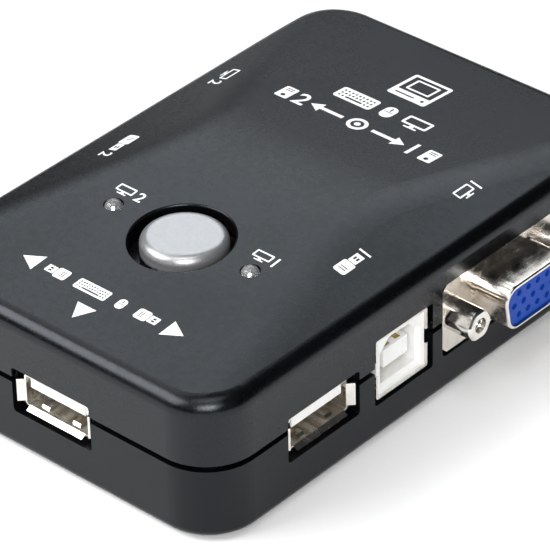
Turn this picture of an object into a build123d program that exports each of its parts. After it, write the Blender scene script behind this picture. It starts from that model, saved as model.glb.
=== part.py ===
from build123d import *
import os
from math import hypot

# Two-computer KVM switch box.
# Frame: millimetres, +X to the right side, +Y to the back (monitor side), +Z up.
# Origin: middle of the case footprint, on the surface that the rubber feet stand on.

os.makedirs("parts", exist_ok=True)

# ------------------------------------------------------------------ driving dimensions
FOOT = 0.8                      # height that the feet hold the case up
CASE_W = 64.8                   # case width (X)
CASE_D = 101.2                  # case depth (Y)
CORNER_R = 9.0                  # plan radius of the case corners
WALL = 2.2                      # side wall thickness
SKIN = 2.0                      # floor and lid thickness
Z_SPLIT = FOOT + 12.63          # middle of the shadow gap between the two covers
GAP = 1.0                       # height of the shadow gap
Z_EDGE = FOOT + 24.2            # lid height at the outer wall planes, before rounding
Z_RIDGE = FOOT + 28.25          # height of the lid's ridge, before softening
APEX_X = 16.9                   # half width of the central field at its waist
RIDGE_R = 130.0                 # softening radius of the ridge
HIP_R = 24.0                    # softening radius between field and side facets
TOP_R = 2.75                    # rounding between lid and walls
LIP_T = 1.0                     # locating lip thickness
BOSS_X, BOSS_Y = 25.3, 43.0     # case screw positions
FOOT_X, FOOT_Y = 23.5, 31.0     # rubber foot positions
FOOT_D = 9.0

PCB_T = 1.6
Z_PCB = FOOT + 6.55             # upper face of the circuit board
PCB_W, PCB_D = 59.6, 95.6
PCB_SCREWS = [(24.0, -16.5), (-24.0, -16.5), (17.6, 35.6), (-17.6, 35.6)]

BTN_X, BTN_Y = 0.6, -21.2       # push button axis
BTN_R = 6.9                     # button cap radius
HOLE_X, HOLE_Y = 0.2, -21.4     # button hole: the cap sits a little off its middle
BTN_HOLE_R = 8.3
Z_BTN = FOOT + 27.35            # top of the button cap at rest
SWITCH_H = 7.4                  # height of the push switch body
TRAVEL = 1.5                    # button travel

LED_X, LED_Y = 14.0, -21.3
LED_D = 3.0
Z_LED = FOOT + 27.35            # top of the LED domes

USB_A_W, USB_A_H, USB_A_L = 13.2, 5.7, 14.0
USB_A_Z = FOOT + 10.85          # centre height of the USB-A sockets
USB_A_IN = 1.2                  # depth of the shell edge behind the case face
USB_A_SIDE_Y = -26.0
USB_B_W, USB_B_H, USB_B_L = 12.04, 10.9, 16.0
USB_B_Z = FOOT + 12.0
USB_B_IN = 0.45
USB_B_Y = -7.6
VGA_Z = FOOT + 12.9
VGA_Y = 17.2
VGA_FLANGE_W, VGA_FLANGE_H = 30.8, 12.5
VGA_SCREW = 24.99 / 2           # half spacing of the jackscrews
VGA_IN = 0.3                    # depth of the flange face behind the case face
VGA_OUT = 6.1                   # how far the D shell stands out of the case face

HX, HY = CASE_W / 2, CASE_D / 2
SLOPE_X = (Z_RIDGE - Z_EDGE) / (HX - APEX_X)
SLOPE_Y = (Z_RIDGE - Z_EDGE) / HY


def write(builder, label):
    builder.part.label = label
    export_step(builder.part, "parts/" + label + ".step")


# ------------------------------------------------------------------ socket planes
# Local X along the case side, local Y up, local Z out of the case. Local Z = 0 is the case face.
def face_plane(side, along, z):
    if side == "right":
        return Plane(origin=(HX, along, z), x_dir=(0, 1, 0), z_dir=(1, 0, 0))
    if side == "left":
        return Plane(origin=(-HX, along, z), x_dir=(0, -1, 0), z_dir=(-1, 0, 0))
    if side == "front":
        return Plane(origin=(along, -HY, z), x_dir=(1, 0, 0), z_dir=(0, -1, 0))
    return Plane(origin=(along, HY, z), x_dir=(-1, 0, 0), z_dir=(0, 1, 0))


USB_A = {
    "front": face_plane("front", 0.0, USB_A_Z),
    "right": face_plane("right", USB_A_SIDE_Y, USB_A_Z),
    "left": face_plane("left", USB_A_SIDE_Y, USB_A_Z),
}
USB_B = {
    "right": face_plane("right", USB_B_Y, USB_B_Z),
    "left": face_plane("left", USB_B_Y, USB_B_Z),
}
VGA = {
    "right": face_plane("right", VGA_Y, VGA_Z),
    "left": face_plane("left", VGA_Y, VGA_Z),
    "monitor": face_plane("rear", 0.0, VGA_Z),
}


# openings in the walls, shared by both covers
with BuildPart() as socket_room:
    for pl in USB_A.values():
        with BuildSketch(pl.offset(1.0)):
            RectangleRounded(16.2, 8.0, 0.6)
        extrude(amount=-(WALL + 3.0))
    for pl in USB_B.values():
        with BuildSketch(pl.offset(1.0)):
            RectangleRounded(13.6, 11.8, 0.5)
        extrude(amount=-(WALL + 3.0))
    for pl in VGA.values():
        with BuildSketch(pl.offset(1.0)):
            RectangleRounded(31.4, 13.1, 0.8)
        extrude(amount=-(WALL + 3.0))


def crowned(width, depth, radius, z_low, drop, out=5.0):
    """A rounded block under the crowned lid shape, lowered by drop: two long slopes that meet
    in a soft ridge across the middle, and one side slope along each long edge."""
    ze, zr = Z_EDGE - drop, Z_RIDGE - drop
    with BuildPart() as block:
        with BuildSketch(Plane.XY.offset(z_low)):
            RectangleRounded(width, depth, radius)
        extrude(amount=30)
        with BuildSketch(Plane.YZ.offset(-60)):
            with BuildLine():
                FilletPolyline(
                    (-HY - out, ze - SLOPE_Y * out), (0, zr), (HY + out, ze - SLOPE_Y * out),
                    radius=RIDGE_R,
                )
                Polyline(
                    (HY + out, ze - SLOPE_Y * out), (HY + out, -10),
                    (-HY - out, -10), (-HY - out, ze - SLOPE_Y * out),
                )
            make_face()
        extrude(amount=120, mode=Mode.INTERSECT)
        with BuildSketch(Plane.XZ.offset(-70)):
            with BuildLine():
                Polyline(
                    (-HX - out, ze - SLOPE_X * out), (-APEX_X + 4, zr + 4 * SLOPE_X),
                    (APEX_X - 4, zr + 4 * SLOPE_X), (HX + out, ze - SLOPE_X * out),
                    (HX + out, -10), (-HX - out, -10), (-HX - out, ze - SLOPE_X * out),
                )
            make_face()
        extrude(amount=140, mode=Mode.INTERSECT)
    return block


def on_wall(p):
    """True for a point on the outer wall surface."""
    x, y = abs(p.X), abs(p.Y)
    if x > HX - 1e-3 or y > HY - 1e-3:
        return True
    cx, cy = HX - CORNER_R, HY - CORNER_R
    return x > cx - 1e-3 and y > cy - 1e-3 and abs(hypot(x - cx, y - cy) - CORNER_R) < 1e-3


# ------------------------------------------------------------------ top cover
# the room under the lid, made first as its own solid so that it can be subtracted whole
lid_room = crowned(CASE_W - 2 * WALL, CASE_D - 2 * WALL, CORNER_R - WALL, Z_SPLIT - 5, SKIN + 0.1)
lid_block = crowned(CASE_W, CASE_D, CORNER_R, Z_SPLIT + GAP / 2, 0.0)

with BuildPart() as top_cover:
    add(lid_block.part)
    # soften the hips between the central field and the two side facets
    hips = top_cover.edges().filter_by(
        lambda e: e.center().Z > Z_EDGE and not on_wall(e @ 0.5) and abs((e @ 0.5).X) > APEX_X - 3
    )
    fillet(hips, radius=HIP_R)
    rim = top_cover.edges().filter_by(
        lambda e: e.center().Z > Z_EDGE - 1 and on_wall(e @ 0) and on_wall(e @ 0.5) and on_wall(e @ 1)
    )
    fillet(rim, radius=TOP_R)
    add(lid_room.part, mode=Mode.SUBTRACT)
    # rebate for the locating lip of the bottom cover
    with BuildSketch(Plane.XY.offset(Z_SPLIT)):
        RectangleRounded(
            CASE_W - 2 * WALL + 2 * LIP_T + 0.4, CASE_D - 2 * WALL + 2 * LIP_T + 0.4,
            CORNER_R - WALL + LIP_T + 0.2,
        )
    extrude(amount=2.2, mode=Mode.SUBTRACT)
    add(socket_room.part, mode=Mode.SUBTRACT)
    # screw posts, collar round the button flange
    with BuildSketch(Plane.XY.offset(FOOT + 6.8)):
        with GridLocations(2 * BOSS_X, 2 * BOSS_Y, 2, 2):
            Circle(3.3)
    extrude(amount=17.0)
    with BuildSketch(Plane.XY.offset(FOOT + 19.2)):
        with Locations((BTN_X, BTN_Y)):
            Circle(11.1)
            Circle(9.9, mode=Mode.SUBTRACT)
    extrude(amount=5.6)
    with BuildSketch(Plane.XY.offset(FOOT + 6.0)):
        with GridLocations(2 * BOSS_X, 2 * BOSS_Y, 2, 2):
            Circle(1.3)
    extrude(amount=10.0, mode=Mode.SUBTRACT)
    # button hole and LED holes
    with BuildSketch(Plane.XY.offset(FOOT + 15.0)):
        with Locations((HOLE_X, HOLE_Y)):
            Circle(BTN_HOLE_R)
        with Locations((LED_X, LED_Y), (-LED_X, LED_Y)):
            Circle(LED_D / 2 + 0.1)
    extrude(amount=20.0, mode=Mode.SUBTRACT)
    ring = top_cover.edges().filter_by(
        lambda e: abs(hypot((e @ 0.3).X - HOLE_X, (e @ 0.3).Y - HOLE_Y) - BTN_HOLE_R) < 0.01
        and abs(hypot((e @ 0.7).X - HOLE_X, (e @ 0.7).Y - HOLE_Y) - BTN_HOLE_R) < 0.01
        and e.center().Z > FOOT + 25.4
    )
    fillet(ring, radius=0.3)
write(top_cover, "top_cover")

# ------------------------------------------------------------------ bottom cover
with BuildPart() as bottom_cover:
    with BuildSketch(Plane.XY.offset(FOOT)):
        RectangleRounded(CASE_W, CASE_D, CORNER_R)
    extrude(amount=Z_SPLIT - GAP / 2 - FOOT)
    fillet(bottom_cover.faces().sort_by(Axis.Z)[0].edges(), radius=1.3)
    with BuildSketch(Plane.XY.offset(Z_SPLIT - GAP / 2)):
        RectangleRounded(
            CASE_W - 2 * WALL + 2 * LIP_T, CASE_D - 2 * WALL + 2 * LIP_T, CORNER_R - WALL + LIP_T
        )
    extrude(amount=GAP + 1.5)
    with BuildSketch(Plane.XY.offset(FOOT + SKIN)):
        RectangleRounded(CASE_W - 2 * WALL, CASE_D - 2 * WALL, CORNER_R - WALL)
    extrude(amount=30, mode=Mode.SUBTRACT)
    add(socket_room.part, mode=Mode.SUBTRACT)
    # posts for the case screws and for the circuit board
    with BuildSketch(Plane.XY.offset(FOOT + 1.0)):
        with GridLocations(2 * BOSS_X, 2 * BOSS_Y, 2, 2):
            Circle(3.9)
    extrude(amount=5.8)
    with BuildSketch(Plane.XY.offset(FOOT + 1.0)):
        with Locations(*PCB_SCREWS):
            Circle(2.6)
    extrude(amount=Z_PCB - PCB_T - FOOT - 1.0)
    # case screw clearance with counterbore from below
    with Locations(Plane.XY.offset(FOOT).rotated((180, 0, 0))):
        with GridLocations(2 * BOSS_X, 2 * BOSS_Y, 2, 2):
            CounterBoreHole(radius=1.6, counter_bore_radius=2.9, counter_bore_depth=3.2, depth=12)
    # board screw pilots
    with BuildSketch(Plane.XY.offset(FOOT + 1.2)):
        with Locations(*PCB_SCREWS):
            Circle(1.0)
    extrude(amount=8, mode=Mode.SUBTRACT)
    # shallow seats for the rubber feet
    with BuildSketch(Plane.XY.offset(FOOT - 1)):
        with GridLocations(2 * FOOT_X, 2 * FOOT_Y, 2, 2):
            Circle(FOOT_D / 2 + 0.2)
    extrude(amount=1.8, mode=Mode.SUBTRACT)
write(bottom_cover, "bottom_cover")

# ------------------------------------------------------------------ feet and screws
with BuildPart() as rubber_feet:
    with BuildSketch(Plane.XY):
        with GridLocations(2 * FOOT_X, 2 * FOOT_Y, 2, 2):
            Circle(FOOT_D / 2)
    extrude(amount=FOOT + 0.8)
    fillet(rubber_feet.faces().filter_by(Axis.Z).group_by(Axis.Z)[0].edges(), radius=0.5)
write(rubber_feet, "rubber_feet")

with BuildPart() as case_screws:
    with BuildSketch(Plane.XY.offset(FOOT + 1.4)):
        with GridLocations(2 * BOSS_X, 2 * BOSS_Y, 2, 2):
            Circle(2.6)
    extrude(amount=1.8)
    with BuildSketch(Plane.XY.offset(FOOT + 3.2)):
        with GridLocations(2 * BOSS_X, 2 * BOSS_Y, 2, 2):
            Circle(1.3)
    extrude(amount=11.0)
    with BuildSketch(Plane.XY.offset(FOOT + 1.4)):
        with GridLocations(2 * BOSS_X, 2 * BOSS_Y, 2, 2):
            Rectangle(3.0, 0.6)
            Rectangle(0.6, 3.0)
    extrude(amount=0.9, mode=Mode.SUBTRACT)
write(case_screws, "case_screws")

with BuildPart() as pcb_screws:
    with BuildSketch(Plane.XY.offset(Z_PCB)):
        with Locations(*PCB_SCREWS):
            Circle(2.2)
    extrude(amount=1.5)
    fillet(pcb_screws.faces().filter_by(Axis.Z).group_by(Axis.Z)[-1].edges(), radius=0.5)
    with BuildSketch(Plane.XY.offset(Z_PCB - 4.4)):
        with Locations(*PCB_SCREWS):
            Circle(1.0)
    extrude(amount=4.4)
    with BuildSketch(Plane.XY.offset(Z_PCB + 0.7)):
        with Locations(*PCB_SCREWS):
            Rectangle(2.4, 0.5)
            Rectangle(0.5, 2.4)
    extrude(amount=1.0, mode=Mode.SUBTRACT)
write(pcb_screws, "pcb_screws")

# ------------------------------------------------------------------ pin layouts (local to a socket)
VGA_ROWS = [(1.98, 0.0, 10.2), (0.0, -1.145, 8.4), (-1.98, 0.0, 6.6)]   # height, stagger, tail depth
VGA_PITCH = 2.29


def vga_pin_list():
    out = []
    for up, shift, tail in VGA_ROWS:
        for i in range(5):
            out.append(((i - 2) * VGA_PITCH + shift + 0.4, up, tail))
    return out


USB_A_PINS = [-3.5, -1.0, 1.0, 3.5]
USB_A_TAIL = 16.4                # depth of the tails behind the case face
USB_B_TAIL = {1: 17.8, -1: 17.0}
USB_B_PINS = [(-1.25, 1), (1.25, 1), (-1.25, -1), (1.25, -1)]


def board_point(pl, along, depth):
    """Board-plane X, Y of a point given along the socket and behind the case face."""
    p = pl.origin + pl.x_dir * along - pl.z_dir * depth
    return (p.X, p.Y)


PIN_HOLES = []
for pl in VGA.values():
    PIN_HOLES += [board_point(pl, a, t) for a, _, t in vga_pin_list()]
for pl in USB_A.values():
    PIN_HOLES += [board_point(pl, a, USB_A_TAIL) for a in USB_A_PINS]
for pl in USB_B.values():
    PIN_HOLES += [board_point(pl, a, USB_B_TAIL[s]) for a, s in USB_B_PINS]
LED_PINS = [(s * LED_X + d, LED_Y) for s in (1, -1) for d in (-1.27, 1.27)]
SWITCH_PINS = [(BTN_X + dx, BTN_Y + dy) for dx in (-2.5, 2.5) for dy in (-2.0, 0.0, 2.0)]

# ------------------------------------------------------------------ circuit board
with BuildPart() as main_pcb:
    with BuildSketch(Plane.XY.offset(Z_PCB - PCB_T)):
        Rectangle(PCB_W, PCB_D)
        with GridLocations(PCB_W, PCB_D, 2, 2):
            Rectangle(18.0, 18.4, mode=Mode.SUBTRACT)
        with Locations(*PIN_HOLES):
            Circle(0.5, mode=Mode.SUBTRACT)
        with Locations(*LED_PINS):
            Circle(0.45, mode=Mode.SUBTRACT)
        with Locations(*SWITCH_PINS):
            Circle(0.5, mode=Mode.SUBTRACT)
        with Locations(*PCB_SCREWS):
            Circle(1.3, mode=Mode.SUBTRACT)
    extrude(amount=PCB_T)
write(main_pcb, "main_pcb")


# ------------------------------------------------------------------ VGA sockets
def d_shape(width, height, r):
    """D outline: wide edge up, sides leaning 10 degrees."""
    lean = height * 0.17633
    with BuildSketch() as outline:
        with BuildLine():
            FilletPolyline(
                (-width / 2, height / 2), (width / 2, height / 2),
                (width / 2 - lean, -height / 2), (-width / 2 + lean, -height / 2),
                radius=r, close=True,
            )
        make_face()
    return outline.sketch


D_ROOT, D_OUTER, D_INNER, D_FILL = (
    d_shape(17.5, 9.1, 3.1), d_shape(16.5, 8.1, 2.6), d_shape(15.5, 7.1, 2.1), d_shape(15.4, 7.0, 2.05)
)


def vga_set(name, pl):
    flange = pl.offset(-VGA_IN)
    with BuildPart() as shell:
        with BuildSketch(flange):
            Rectangle(VGA_FLANGE_W, VGA_FLANGE_H)
        extrude(amount=-0.8)
        chamfer(shell.edges().filter_by(lambda e: abs(e.length - 0.8) < 1e-3), length=1.1)
        with BuildSketch(flange):
            add(D_ROOT)
        extrude(amount=0.45)
        with BuildSketch(flange):
            add(D_OUTER)
        extrude(amount=VGA_OUT + VGA_IN)
        outer = shell.faces().filter_by(lambda f: abs((f.center() - pl.origin).dot(pl.z_dir) - VGA_OUT) < 1e-3)
        fillet(outer.edges(), radius=0.35)
        with BuildSketch(pl.offset(VGA_OUT + 1)):
            add(D_INNER)
        extrude(amount=-(VGA_OUT + VGA_IN + 3), mode=Mode.SUBTRACT)
        with BuildSketch(flange.offset(1)):
            with Locations((-VGA_SCREW, 0), (VGA_SCREW, 0)):
                Circle(1.65)
        extrude(amount=-3, mode=Mode.SUBTRACT)
    write(shell, "vga_" + name + "_shell")

    with BuildPart() as insulator:
        with BuildSketch(pl.offset(VGA_OUT - 0.45)):
            add(D_FILL)
        extrude(amount=-(VGA_OUT - 0.45 + VGA_IN + 0.8))
        with BuildSketch(pl.offset(-VGA_IN - 0.8)):
            with Locations((0, -0.65)):
                Rectangle(19.0, 11.4)
        extrude(amount=-4.4)
        with BuildSketch(pl.offset(VGA_OUT)):
            with Locations(*[(a, u) for a, u, t in vga_pin_list()]):
                Circle(0.55)
        extrude(amount=-(VGA_OUT + 8), mode=Mode.SUBTRACT)
    write(insulator, "vga_" + name + "_insulator")

    with BuildPart() as contacts:
        for a, u, t in vga_pin_list():
            with BuildSketch(pl.offset(VGA_OUT - 1.3)):
                with Locations((a, u)):
                    Circle(0.5)
            extrude(amount=-(VGA_OUT - 1.3 + t + 0.35))
            with BuildSketch(Plane(origin=pl.origin + pl.y_dir * (u + 0.35) - pl.z_dir * t,
                                   x_dir=pl.x_dir, z_dir=(0, 0, -1))):
                with Locations((a, 0)):
                    Circle(0.35)
            extrude(amount=VGA_Z + u + 0.35 - (Z_PCB - PCB_T - 1.2))
        with BuildSketch(pl.offset(VGA_OUT)):
            with Locations(*[(a, u) for a, u, t in vga_pin_list()]):
                Circle(0.3)
        extrude(amount=-6, mode=Mode.SUBTRACT)
    write(contacts, "vga_" + name + "_contacts")

    with BuildPart() as jackscrews:
        with BuildSketch(flange):
            with Locations((-VGA_SCREW, 0), (VGA_SCREW, 0)):
                RegularPolygon(radius=2.5, side_count=6, major_radius=False)
        extrude(amount=5.1)
        with BuildSketch(flange):
            with Locations((-VGA_SCREW, 0), (VGA_SCREW, 0)):
                Circle(2.62)
        extrude(amount=5.1, mode=Mode.INTERSECT)
        tips = jackscrews.faces().filter_by(
            lambda f: abs((f.center() - flange.origin).dot(pl.z_dir) - 5.1) < 1e-3
        )
        chamfer(tips.edges(), length=0.3)
        with BuildSketch(flange):
            with Locations((-VGA_SCREW, 0), (VGA_SCREW, 0)):
                Circle(1.42)
        extrude(amount=-5.2)
        with BuildSketch(flange.offset(6)):
            with Locations((-VGA_SCREW, 0), (VGA_SCREW, 0)):
                Circle(1.3)
        extrude(amount=-6.0, mode=Mode.SUBTRACT)
    write(jackscrews, "vga_" + name + "_jackscrews")

    with BuildPart() as bracket:
        with BuildSketch(pl.offset(-VGA_IN - 0.8)):
            with Locations((-VGA_SCREW, -0.175), (VGA_SCREW, -0.175)):
                Rectangle(5.6, 12.35)
        extrude(amount=-0.8)
        with BuildSketch(pl.offset(-VGA_IN - 1.6)):
            with Locations((-VGA_SCREW, -5.95), (VGA_SCREW, -5.95)):
                Rectangle(5.6, 0.8)
        extrude(amount=-8.0)
        with BuildSketch(pl.offset(0)):
            with Locations((-VGA_SCREW, 0), (VGA_SCREW, 0)):
                Circle(1.46)
        extrude(amount=-4, mode=Mode.SUBTRACT)
    write(bracket, "vga_" + name + "_brackets")


for side, plane in VGA.items():
    vga_set(side, plane)


# ------------------------------------------------------------------ USB-A sockets
def usb_a_set(name, pl):
    mouth = pl.offset(-USB_A_IN)
    t = 0.3
    with BuildPart() as shell:
        with BuildSketch(mouth):
            RectangleRounded(USB_A_W, USB_A_H, 0.6)
        extrude(amount=-USB_A_L)
        with BuildSketch(mouth.offset(1)):
            RectangleRounded(USB_A_W - 2 * t, USB_A_H - 2 * t, 0.35)
        extrude(amount=-USB_A_L - 2, mode=Mode.SUBTRACT)
        # flared guides on both sides
        for s in (1, -1):
            with BuildSketch(Plane(origin=mouth.origin - pl.y_dir * 2.0, x_dir=pl.x_dir, z_dir=pl.y_dir)):
                with BuildLine():
                    Polyline(
                        (s * (USB_A_W / 2 - t), 0.25), (s * (USB_A_W / 2 - t), 0), (s * (USB_A_W / 2 + 0.75), -1.0),
                        (s * (USB_A_W / 2 + 1.0), -0.8), (s * (USB_A_W / 2), 0.25),
                        close=True,
                    )
                make_face()
            extrude(amount=4.0)
        # flared guide below, in two halves that meet at the seam of the folded shell
        for a in (-5.7, 0.06):
            with BuildSketch(Plane(origin=mouth.origin + pl.x_dir * a, x_dir=pl.y_dir, z_dir=pl.x_dir)):
                with BuildLine():
                    Polyline(
                        (-USB_A_H / 2 + t, -0.25), (-USB_A_H / 2 + t, 0), (-USB_A_H / 2 - 0.25, 0.85),
                        (-USB_A_H / 2 - 0.5, 0.7), (-USB_A_H / 2, -0.25),
                        close=True,
                    )
                make_face()
            extrude(amount=5.64)
        # seam of the folded shell
        with BuildSketch(mouth.offset(2)):
            with Locations((0, -USB_A_H / 2)):
                Rectangle(0.12, 2.0)
        extrude(amount=-9.0, mode=Mode.SUBTRACT)
        # two sprung fingers in the floor, with rounded contact bumps just inside the mouth
        for a in (-3.2, 3.2):
            with BuildSketch(Plane(origin=mouth.origin + pl.x_dir * (a - 0.75), x_dir=pl.y_dir, z_dir=pl.x_dir)):
                with BuildLine():
                    Polyline((-USB_A_H / 2 + t - 0.1, -5.2), (-USB_A_H / 2 + t, -5.2), (-USB_A_H / 2 + t + 0.4, -2.1),
                             (-USB_A_H / 2 + t + 0.4, -1.0), (-USB_A_H / 2 + t + 0.15, -0.75),
                             (-USB_A_H / 2 + t - 0.1, -0.75), close=True)
                make_face()
            extrude(amount=1.5)
            with Locations(mouth.origin + pl.x_dir * a - pl.z_dir * 1.6 + pl.y_dir * (-USB_A_H / 2 + t - 0.1)):
                Sphere(radius=0.7, arc_size1=0)
    write(shell, "usb_a_" + name + "_shell")

    with BuildPart() as tongue:
        # tongue blade, back wall of the insulator and the base that stands on the board
        with BuildSketch(mouth.offset(-0.35)):
            with Locations((0, 1.5)):
                Rectangle(11.2, 1.85)
        extrude(amount=-10.05)
        with BuildSketch(mouth.offset(-10.4)):
            RectangleRounded(USB_A_W - 2 * t - 0.1, USB_A_H - 2 * t - 0.1, 0.5)
        extrude(amount=-3.6)
        base_h = USB_A_Z - USB_A_H / 2 - Z_PCB
        with BuildSketch(pl.offset(-USB_A_IN - 2.0)):
            with Locations((0, -USB_A_H / 2 - base_h / 2)):
                Rectangle(USB_A_W - 1.0, base_h)
        extrude(amount=-USB_A_L + 2.0)
        with BuildSketch(mouth.offset(-USB_A_L)):
            with Locations((0, -base_h / 2)):
                Rectangle(USB_A_W - 1.0, USB_A_H + base_h)
        extrude(amount=-0.8)
        for a in USB_A_PINS:
            with BuildSketch(mouth.offset(-0.9)):
                with Locations((a, 0.575)):
                    Rectangle(1.1, 0.25)
            extrude(amount=-20, mode=Mode.SUBTRACT)
    write(tongue, "usb_a_" + name + "_tongue")

    with BuildPart() as contacts:
        for a in USB_A_PINS:
            with BuildSketch(mouth.offset(-1.0)):
                with Locations((a, 0.56)):
                    Rectangle(1.0, 0.22)
            extrude(amount=-(USB_A_TAIL + 0.15 - USB_A_IN - 1.0))
            with BuildSketch(Plane(origin=pl.origin + pl.y_dir * 0.67 - pl.z_dir * USB_A_TAIL,
                                   x_dir=pl.x_dir, z_dir=(0, 0, -1))):
                with Locations((a, 0)):
                    Rectangle(0.6, 0.3)
            extrude(amount=USB_A_Z + 0.67 - (Z_PCB - PCB_T - 1.2))
    return shell, tongue, contacts


for side, plane in USB_A.items():
    shell, tongue, contacts = usb_a_set(side, plane)
    write(contacts, "usb_a_" + side + "_contacts")


# ------------------------------------------------------------------ USB-B sockets
def usb_b_set(name, pl):
    mouth = pl.offset(-USB_B_IN)
    t = 0.4
    with BuildPart() as shell:
        with BuildSketch(mouth):
            RectangleRounded(USB_B_W, USB_B_H, 0.5)
        extrude(amount=-USB_B_L)
        with BuildSketch(mouth.offset(1)):
            Rectangle(USB_B_W - 2 * t, USB_B_H - 2 * t)
        extrude(amount=-USB_B_L - 2, mode=Mode.SUBTRACT)
        # a slot at mid height in both sides, and the spring finger that stands out of it
        with BuildSketch(mouth.offset(1)):
            with Locations((0, 0.2)):
                Rectangle(20, 2.6)
        extrude(amount=-3.0, mode=Mode.SUBTRACT)
        for s in (1, -1):
            with BuildSketch(Plane(origin=mouth.origin - pl.y_dir * 3.7, x_dir=pl.x_dir, z_dir=pl.y_dir)):
                with BuildLine():
                    Polyline((s * (USB_B_W / 2 - 0.2), 0.6), (s * (USB_B_W / 2 + 0.35), 1.2),
                             (s * (USB_B_W / 2 + 0.35), 2.6), (s * (USB_B_W / 2 - 0.2), 4.0), close=True)
                make_face()
            extrude(amount=2.6)
    write(shell, "usb_b_" + name + "_shell")

    with BuildPart() as insulator:
        with BuildSketch(mouth.offset(-0.35)):
            Rectangle(USB_B_W - 2 * t, USB_B_H - 2 * t)
        extrude(amount=-USB_B_L + 1.2)
        # opening for the plug: a square with both upper corners cut off
        with BuildSketch(mouth):
            with BuildLine():
                Polyline((-4.25, -3.9), (4.25, -3.9), (4.25, 2.1), (2.45, 3.9), (-2.45, 3.9), (-4.25, 2.1), close=True)
            make_face()
        extrude(amount=-9.4, mode=Mode.SUBTRACT)
        # lead-in all round the opening
        with BuildSketch(mouth.offset(-0.35)):
            with BuildLine():
                Polyline((-4.75, -4.4), (4.75, -4.4), (4.75, 2.3), (2.65, 4.4), (-2.65, 4.4), (-4.75, 2.3), close=True)
            make_face()
        with BuildSketch(mouth.offset(-1.05)):
            with BuildLine():
                Polyline((-4.25, -3.9), (4.25, -3.9), (4.25, 2.1), (2.45, 3.9), (-2.45, 3.9), (-4.25, 2.1), close=True)
            make_face()
        loft(mode=Mode.SUBTRACT)
        # centre post
        with BuildSketch(mouth.offset(-1.3)):
            Rectangle(5.6, 3.2)
        extrude(amount=-9.0)
        for a, s in USB_B_PINS:
            with BuildSketch(mouth.offset(-1.8)):
                with Locations((a, s * 1.5)):
                    Rectangle(1.2, 0.3)
            extrude(amount=-20, mode=Mode.SUBTRACT)
    write(insulator, "usb_b_" + name + "_insulator")

    with BuildPart() as contacts:
        for a, s in USB_B_PINS:
            with BuildSketch(mouth.offset(-1.9)):
                with Locations((a, s * 1.5)):
                    Rectangle(1.1, 0.26)
            extrude(amount=-(USB_B_TAIL[s] + 0.25 - 1.9 - USB_B_IN))
            with BuildSketch(Plane(origin=pl.origin + pl.y_dir * (s * 1.5) - pl.z_dir * USB_B_TAIL[s],
                                   x_dir=pl.x_dir, z_dir=(0, 0, -1))):
                with Locations((a, 0)):
                    Rectangle(0.6, 0.5)
            extrude(amount=USB_B_Z + s * 1.5 - (Z_PCB - PCB_T - 1.2))
    write(contacts, "usb_b_" + name + "_contacts")


for side, plane in USB_B.items():
    usb_b_set(side, plane)

# ------------------------------------------------------------------ indicator lamps
for label, sx in (("led_computer_1", 1), ("led_computer_2", -1)):
    with BuildPart() as led:
        with BuildSketch(Plane.XY.offset(Z_LED - 5.3)):
            with Locations((sx * LED_X, LED_Y)):
                Circle(1.9)
        extrude(amount=1.0)
        with BuildSketch(Plane.XY.offset(Z_LED - 4.3)):
            with Locations((sx * LED_X, LED_Y)):
                Circle(LED_D / 2)
        extrude(amount=4.3)
        crest = led.faces().filter_by(Axis.Z).sort_by(Axis.Z)[-1].edges()
        fillet(crest, radius=LED_D / 2 - 0.02)
    write(led, label)

with BuildPart() as led_leads:
    with BuildSketch(Plane.XY.offset(Z_PCB - PCB_T - 1.2)):
        with Locations(*LED_PINS):
            Rectangle(0.5, 0.5)
    extrude(amount=Z_LED - 5.3 - (Z_PCB - PCB_T - 1.2))
write(led_leads, "led_leads")

# ------------------------------------------------------------------ push button and its switch
Z_BODY_TOP = Z_PCB + SWITCH_H
with BuildPart() as switch_body:
    with BuildSketch(Plane.XY.offset(Z_PCB)):
        with Locations((BTN_X, BTN_Y)):
            RectangleRounded(8.5, 8.5, 0.5)
    extrude(amount=SWITCH_H)
    with BuildSketch(Plane.XY.offset(Z_PCB + 1.0)):
        with Locations((BTN_X, BTN_Y)):
            Rectangle(3.7, 3.7)
    extrude(amount=10, mode=Mode.SUBTRACT)
    with BuildSketch(Plane.XY.offset(Z_PCB)):
        with Locations(*SWITCH_PINS):
            Rectangle(0.9, 0.5)
    extrude(amount=1.0, mode=Mode.SUBTRACT)
write(switch_body, "switch_body")

with BuildPart() as switch_terminals:
    with BuildSketch(Plane.XY.offset(Z_PCB - PCB_T - 1.2)):
        with Locations(*SWITCH_PINS):
            Rectangle(0.6, 0.4)
    extrude(amount=1.0 + PCB_T + 1.2)
write(switch_terminals, "switch_terminals")

Z_STEM = Z_BTN - 9.8
with BuildPart() as switch_plunger:
    with BuildSketch(Plane.XY.offset(Z_PCB + 3.0)):
        with Locations((BTN_X, BTN_Y)):
            Rectangle(3.0, 3.0)
    extrude(amount=Z_STEM + 4.0 - Z_PCB - 3.0)
    chamfer(switch_plunger.faces().sort_by(Axis.Z)[-1].edges(), length=0.3)
write(switch_plunger, "switch_plunger")

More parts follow.
